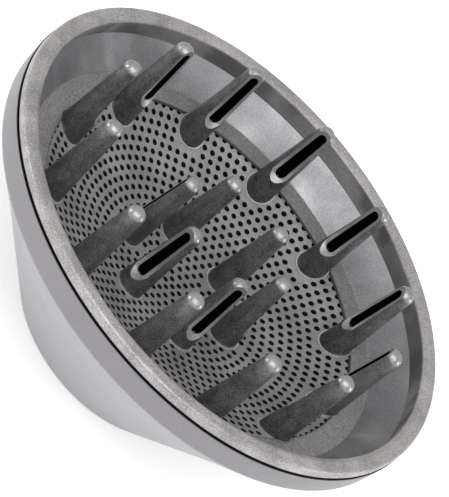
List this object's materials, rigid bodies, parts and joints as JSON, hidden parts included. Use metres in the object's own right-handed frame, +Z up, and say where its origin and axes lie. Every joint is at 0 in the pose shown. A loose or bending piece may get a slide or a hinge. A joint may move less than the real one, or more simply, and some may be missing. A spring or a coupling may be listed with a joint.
{
  "type": "hair dryer diffuser",
  "caption": "Bowl-shaped hair dryer diffuser: conical shell, rounded rim, dished perforated plate and hollow slotted air fingers, with a bored collar at the dryer end.",
  "frame": {"origin": "centre of the flat dryer-end face", "axes": "+Z up the bowl's axis, from the dryer end out of the mouth; +X through one of the outer air fingers"},
  "size_m": [0.1655, 0.1654, 0.0734],
  "materials": {
    "shell_paint": "satin silver paint",
    "rim_satin": "fine-grained satin",
    "dish_satin": "satin metallic paint",
    "plate_grey": "fine satin",
    "finger_charcoal": "fine-textured body with polished tip",
    "duct_black": "moulded matt black",
    "collar_charcoal": "moulded satin",
    "magnet_nickel": "nickel plated",
    "screw_steel": "zinc plated",
    "seal_rubber": "soft matt"
  },
  "bodies": {
    "root": {"outer_shell": "shell_paint", "rim_ring": "rim_satin", "dish_wall": "dish_satin", "perforated_plate": "plate_grey", "outer_finger_01": "finger_charcoal", "outer_finger_02": "finger_charcoal", "outer_finger_03": "finger_charcoal", "outer_finger_04": "finger_charcoal", "outer_finger_05": "finger_charcoal", "outer_finger_06": "finger_charcoal", "outer_finger_07": "finger_charcoal", "outer_finger_08": "finger_charcoal", "outer_finger_09": "finger_charcoal", "outer_finger_10": "finger_charcoal", "outer_finger_11": "finger_charcoal", "outer_finger_12": "finger_charcoal", "inner_finger_1": "finger_charcoal", "inner_finger_2": "finger_charcoal", "inner_finger_3": "finger_charcoal", "inner_finger_4": "finger_charcoal", "inner_finger_5": "finger_charcoal", "inner_finger_6": "finger_charcoal", "finger_carrier": "duct_black", "inner_duct": "duct_black", "air_spreader": "duct_black", "spreader_screw": "screw_steel", "inlet_collar": "collar_charcoal", "attachment_magnets": "magnet_nickel", "magnet_cover": "collar_charcoal", "collar_screws": "screw_steel", "nozzle_seal": "seal_rubber"}
  },
  "joints": []
}
